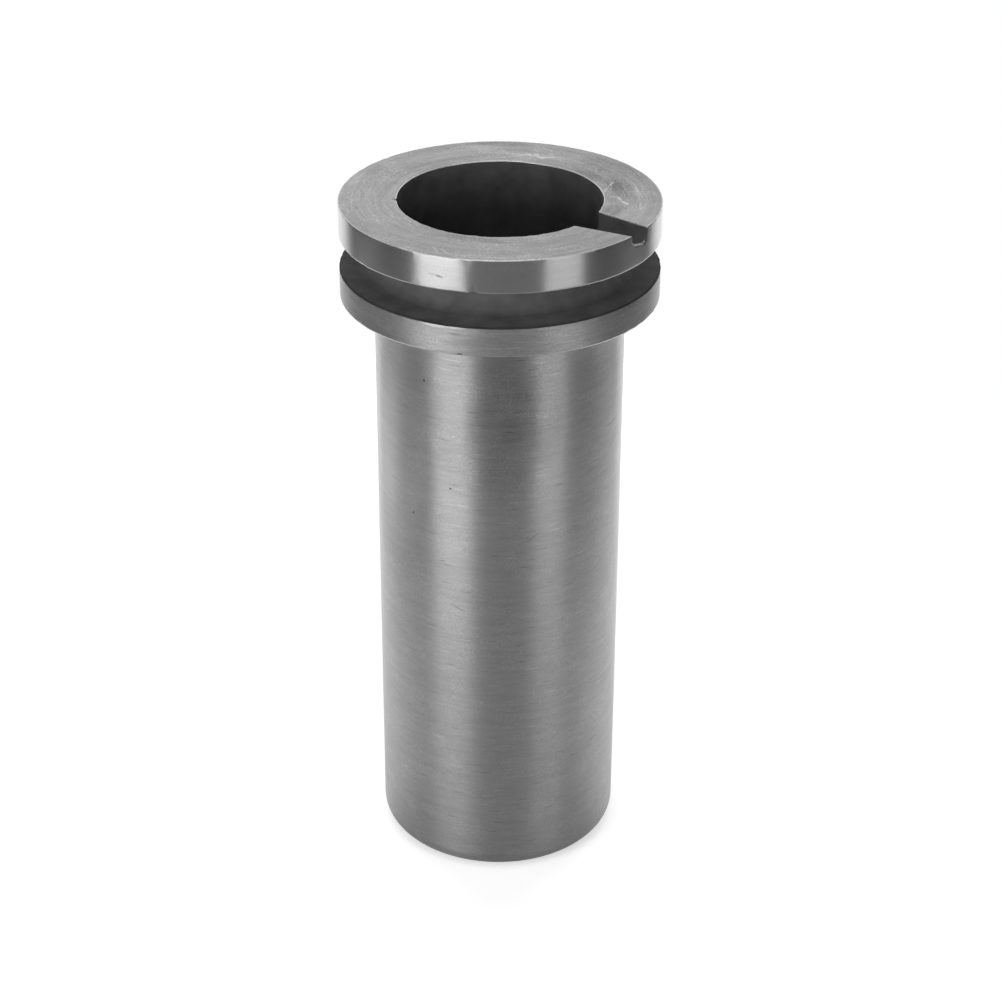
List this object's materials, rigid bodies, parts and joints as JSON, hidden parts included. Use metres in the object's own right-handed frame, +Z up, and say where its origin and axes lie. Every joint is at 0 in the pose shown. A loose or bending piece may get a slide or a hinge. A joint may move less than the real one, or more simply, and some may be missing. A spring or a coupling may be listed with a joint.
{
  "type": "foundry crucible",
  "caption": "Straight graphite melting crucible with a double-flange head, a groove for lifting tongs and a pouring notch across the rim.",
  "frame": {"origin": "on the axis at the underside of the base", "axes": "+Z up the crucible's axis to the pouring rim, +X out along the pouring notch"},
  "size_m": [0.075, 0.075, 0.17],
  "materials": {
    "graphite": "satin"
  },
  "bodies": {
    "root": {"crucible": "graphite"}
  },
  "joints": []
}
